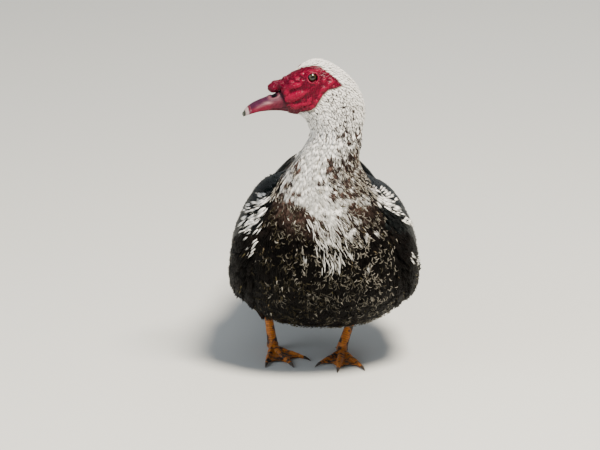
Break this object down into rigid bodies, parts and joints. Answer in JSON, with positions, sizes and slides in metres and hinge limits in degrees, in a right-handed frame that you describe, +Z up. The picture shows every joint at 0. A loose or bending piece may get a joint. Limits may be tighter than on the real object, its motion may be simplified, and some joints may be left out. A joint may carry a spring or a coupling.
{
  "type": "muscovy duck",
  "caption": "Standing muscovy drake, a still life-size model: deep body, folded wings, fanned tail, webbed feet, the head turned aside with a bare lobed face, a knob and a hooked bill.",
  "frame": {"origin": "on the floor, under the middle of the bird's box", "axes": "+Z up, -Y the way the body faces, +X the bird's left"},
  "size_m": [0.2222, 0.5392, 0.3909],
  "materials": {
    "dark_feathers": "soft matt plumage, dark brown with pale flecks",
    "white_feathers": "soft matt plumage, white",
    "flight_feathers": "satin black plumage with a slight green gloss",
    "bare_skin": "moist lobed skin, crimson",
    "bill_skin": "smooth pink bill skin",
    "horn": "dark polished horn",
    "leg_skin": "scaled orange-brown skin",
    "eye": "wet gloss"
  },
  "bodies": {
    "root": {"torso": "dark_feathers", "neck_lower": "white_feathers", "neck_upper": "white_feathers", "head": "white_feathers", "face": "bare_skin", "bill_upper": "bill_skin", "bill_lower": "bill_skin", "bill_nail": "horn", "eye_left": "eye", "eye_right": "eye", "wing_left": "flight_feathers", "wing_right": "flight_feathers", "tail": "flight_feathers", "thigh_left": "dark_feathers", "thigh_right": "dark_feathers", "shank_left": "leg_skin", "shank_right": "leg_skin", "foot_left": "leg_skin", "foot_right": "leg_skin", "claw_left_inner": "horn", "claw_left_middle": "horn", "claw_left_outer": "horn", "claw_left_hind": "horn", "claw_right_inner": "horn", "claw_right_middle": "horn", "claw_right_outer": "horn", "claw_right_hind": "horn"}
  },
  "joints": []
}
